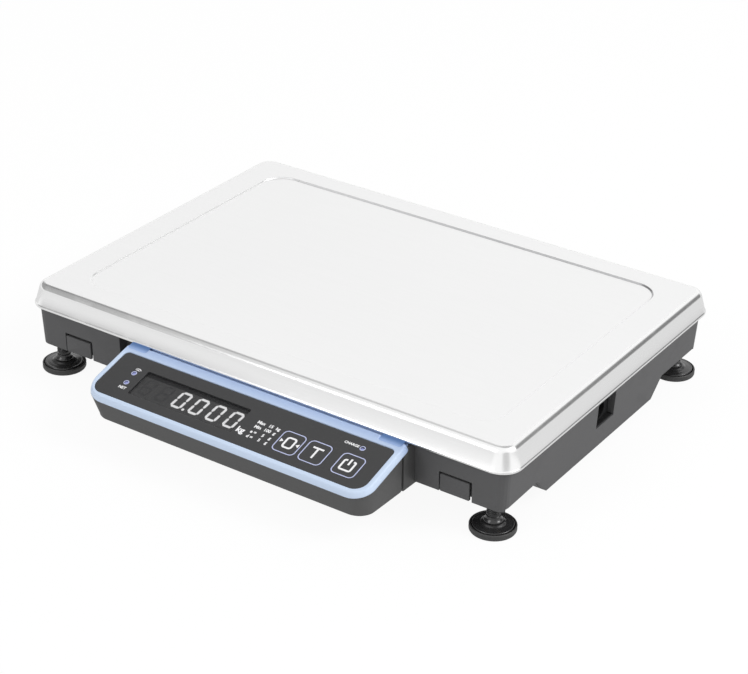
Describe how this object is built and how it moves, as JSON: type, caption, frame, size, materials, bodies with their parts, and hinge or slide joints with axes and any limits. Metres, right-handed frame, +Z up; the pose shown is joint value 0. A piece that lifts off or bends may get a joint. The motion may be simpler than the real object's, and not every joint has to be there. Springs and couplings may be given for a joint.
{
  "type": "bench scale",
  "caption": "Low bench scale: pressed steel platter on a plastic base with levelling feet, tilted display head with keys at the front.",
  "frame": {"origin": "centre of the footprint's bounding box, on the table under the feet", "axes": "+X to the operator's right along the platter's long side, +Y away from the operator, +Z up; the display faces -Y"},
  "size_m": [0.336, 0.285, 0.057],
  "materials": {
    "platter_steel": "pressed stainless sheet, satin",
    "base_plastic": "fine spark texture, dark grey",
    "head_plastic": "fine spark texture, dark grey",
    "glossy_black": "polished black",
    "black_rubber": "moulded, matt",
    "bezel_blue": "light blue, satin",
    "panel_overlay": "printed overlay film",
    "smoked_window": "smoked lens",
    "display_white": "display block",
    "indicator_lens": "clear indicator lens",
    "zinc_steel": "zinc plated",
    "cast_aluminium": "as cast and machined",
    "brass": "turned",
    "board_laminate": "green laminate",
    "battery_wrap": "heat-shrink wrap",
    "clear_acrylic": "clear vial",
    "lead_grey": "flat lead"
  },
  "bodies": {
    "base": {"base_housing": "base_plastic", "underside_cover": "base_plastic", "cell_plate": "zinc_steel", "cell_spacer": "zinc_steel", "load_cell": "cast_aluminium", "cell_base_bolt_front": "zinc_steel", "cell_base_bolt_back": "zinc_steel", "blanking_cover_left": "base_plastic", "blanking_cover_right": "base_plastic", "power_socket": "glossy_black", "main_board": "board_laminate", "battery_pack": "battery_wrap", "level_cup": "glossy_black", "level_vial": "clear_acrylic", "head_bezel": "bezel_blue", "keypad_panel": "panel_overlay", "display_window": "smoked_window", "display_module": "display_white", "indicator_link": "indicator_lens", "indicator_network": "indicator_lens", "indicator_mains": "indicator_lens", "head_board": "board_laminate", "head_housing": "head_plastic", "head_neck": "head_plastic", "neck_screw_left": "zinc_steel", "neck_screw_right": "zinc_steel", "display_lead": "lead_grey", "overload_stop_front_left": "zinc_steel", "overload_stop_back_left": "zinc_steel", "overload_stop_front_right": "zinc_steel", "overload_stop_back_right": "zinc_steel", "foot_insert_front_left": "brass", "foot_insert_front_right": "brass", "foot_insert_back_left": "brass", "foot_insert_back_right": "brass"},
    "platter": {"platter": "platter_steel"},
    "carrier": {"load_carrier": "cast_aluminium", "carrier_riser": "zinc_steel", "carrier_bolt_front": "zinc_steel", "carrier_bolt_back": "zinc_steel", "platter_pad_front_left": "black_rubber", "platter_pad_back_left": "black_rubber", "platter_pad_front_right": "black_rubber", "platter_pad_back_right": "black_rubber"},
    "foot_front_left": {"foot_plate_front_left": "glossy_black", "foot_sole_front_left": "black_rubber"},
    "stem_front_left": {"foot_stem_front_left": "glossy_black"},
    "foot_front_right": {"foot_plate_front_right": "glossy_black", "foot_sole_front_right": "black_rubber"},
    "stem_front_right": {"foot_stem_front_right": "glossy_black"},
    "foot_back_left": {"foot_plate_back_left": "glossy_black", "foot_sole_back_left": "black_rubber"},
    "stem_back_left": {"foot_stem_back_left": "glossy_black"},
    "foot_back_right": {"foot_plate_back_right": "glossy_black", "foot_sole_back_right": "black_rubber"},
    "stem_back_right": {"foot_stem_back_right": "glossy_black"},
    "key_zero": {"key_zero": "panel_overlay"},
    "key_tare": {"key_tare": "panel_overlay"},
    "key_power": {"key_power": "panel_overlay"}
  },
  "joints": [
    {"name": "foot_height_front_left", "type": "slide", "parent": "base", "child": "foot_front_left", "axis": [0, 0, 1], "range_m": [-0.007, 0.004]},
    {"name": "stem_turn_front_left", "type": "hinge", "parent": "foot_front_left", "child": "stem_front_left", "pos_m": [-0.152, -0.08405, 0.02], "axis": [0, 0, 1], "range_deg": [-2020, 1160]},
    {"name": "foot_height_front_right", "type": "slide", "parent": "base", "child": "foot_front_right", "axis": [0, 0, 1], "range_m": [-0.007, 0.004]},
    {"name": "stem_turn_front_right", "type": "hinge", "parent": "foot_front_right", "child": "stem_front_right", "pos_m": [0.152, -0.08405, 0.02], "axis": [0, 0, 1], "range_deg": [-2020, 1160]},
    {"name": "foot_height_back_left", "type": "slide", "parent": "base", "child": "foot_back_left", "axis": [0, 0, 1], "range_m": [-0.007, 0.004]},
    {"name": "stem_turn_back_left", "type": "hinge", "parent": "foot_back_left", "child": "stem_back_left", "pos_m": [-0.152, 0.12915, 0.02], "axis": [0, 0, 1], "range_deg": [-2020, 1160]},
    {"name": "foot_height_back_right", "type": "slide", "parent": "base", "child": "foot_back_right", "axis": [0, 0, 1], "range_m": [-0.007, 0.004]},
    {"name": "stem_turn_back_right", "type": "hinge", "parent": "foot_back_right", "child": "stem_back_right", "pos_m": [0.152, 0.12915, 0.02], "axis": [0, 0, 1], "range_deg": [-2020, 1160]},
    {"name": "cell_deflection", "type": "slide", "parent": "base", "child": "carrier", "axis": [0, 0, -1], "range_m": [0, 0.00025], "stiffness_N_per_m": 588000, "springref_m": -0.00002},
    {"name": "platter_lift", "type": "slide", "parent": "carrier", "child": "platter", "axis": [0, 0, 1], "range_m": [0, 0.05]},
    {"name": "key_zero_press", "type": "slide", "parent": "base", "child": "key_zero", "axis": [0, 0.2588, -0.9659], "range_m": [0, 0.0003], "stiffness_N_per_m": 5000, "springref_m": -0.0001},
    {"name": "key_tare_press", "type": "slide", "parent": "base", "child": "key_tare", "axis": [0, 0.2588, -0.9659], "range_m": [0, 0.0003], "stiffness_N_per_m": 5000, "springref_m": -0.0001},
    {"name": "key_power_press", "type": "slide", "parent": "base", "child": "key_power", "axis": [0, 0.2588, -0.9659], "range_m": [0, 0.0003], "stiffness_N_per_m": 5000, "springref_m": -0.0001}
  ],
  "couplings": [
    {"joint": "stem_turn_front_left", "follows": "foot_height_front_left", "rad_per_m": 5026.5},
    {"joint": "stem_turn_front_right", "follows": "foot_height_front_right", "rad_per_m": 5026.5},
    {"joint": "stem_turn_back_left", "follows": "foot_height_back_left", "rad_per_m": 5026.5},
    {"joint": "stem_turn_back_right", "follows": "foot_height_back_right", "rad_per_m": 5026.5}
  ]
}
